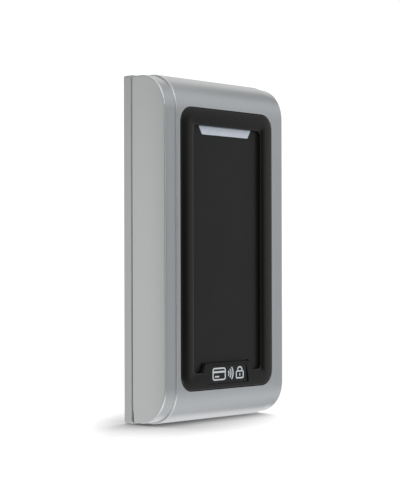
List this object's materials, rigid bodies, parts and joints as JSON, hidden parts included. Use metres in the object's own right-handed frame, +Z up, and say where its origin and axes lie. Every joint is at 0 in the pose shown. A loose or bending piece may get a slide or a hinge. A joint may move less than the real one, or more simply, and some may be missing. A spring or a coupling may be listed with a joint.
{
  "type": "rfid card reader",
  "caption": "Upright wall-mounted contactless card reader with a rounded metal housing, a black window insert and a hooked back plate.",
  "frame": {"origin": "centre of the back plate's rear face, on the wall", "axes": "+Z up along the height, +Y into the wall, +X to the right seen from the front"},
  "size_m": [0.0746, 0.0267, 0.15],
  "materials": {
    "housing_paint": "satin silver paint over die-cast aluminium",
    "black_plastic": "satin moulded black polycarbonate",
    "window_film": "smooth dark grey film",
    "badge_film": "dark grey plate with a pale printed pictogram",
    "diffuser": "milky light guide",
    "rubber_black": "soft black rubber",
    "copper_wire": "enamelled copper wire",
    "ferrite": "flexible ferrite sheet",
    "former_white": "natural moulded plastic",
    "board_green": "green solder mask on glass-epoxy",
    "chip_black": "moulded epoxy with tinned leads",
    "can_metal": "drawn metal can",
    "ceramic": "fired ceramic",
    "led_lens": "clear epoxy over a white carrier",
    "terminal_green": "moulded nylon",
    "zinc_steel": "zinc-plated steel",
    "stainless": "stainless steel",
    "brass": "turned brass",
    "tamper_white": "white acetal"
  },
  "bodies": {
    "mount": {"back_plate": "housing_paint", "cable_grommet": "rubber_black"},
    "reader": {"housing": "housing_paint", "insert_frame": "black_plastic", "insert_seal": "rubber_black", "insert_screws": "zinc_steel", "face_panel": "window_film", "badge_plate": "badge_film", "light_guide": "diffuser", "light_shield": "black_plastic", "coil_former": "former_white", "antenna_coil": "copper_wire", "ferrite_sheet": "ferrite", "antenna_leads": "copper_wire", "main_board": "board_green", "board_screws": "zinc_steel", "controller_chip": "chip_black", "rf_chip": "chip_black", "interface_chip": "chip_black", "crystal": "can_metal", "voltage_regulator": "chip_black", "power_capacitor": "can_metal", "tuning_capacitors": "ceramic", "resistors": "chip_black", "protection_diodes": "chip_black", "buzzer": "chip_black", "terminal_block": "terminal_green", "terminal_screws": "zinc_steel", "terminal_clamps": "zinc_steel", "status_leds": "led_lens", "tamper_switch": "chip_black", "tamper_spring": "stainless", "rear_cover": "black_plastic", "cover_gasket": "rubber_black", "rear_cover_screws": "zinc_steel", "lock_insert": "brass"},
    "lock_screw": {"lock_screw": "stainless"},
    "tamper_plunger": {"tamper_plunger": "tamper_white"}
  },
  "joints": [
    {"name": "reader_tilt", "type": "hinge", "parent": "mount", "child": "reader", "pos_m": [0, -0.006, 0.0723], "axis": [-1, 0, 0], "range_deg": [0, 12]},
    {"name": "lock_screw_travel", "type": "slide", "parent": "reader", "child": "lock_screw", "axis": [0, 0, 1], "range_m": [0, 0.004]},
    {"name": "tamper_plunger_travel", "type": "slide", "parent": "reader", "child": "tamper_plunger", "axis": [0, 1, 0], "range_m": [0, 0.0015], "stiffness_N_per_m": 100}
  ]
}
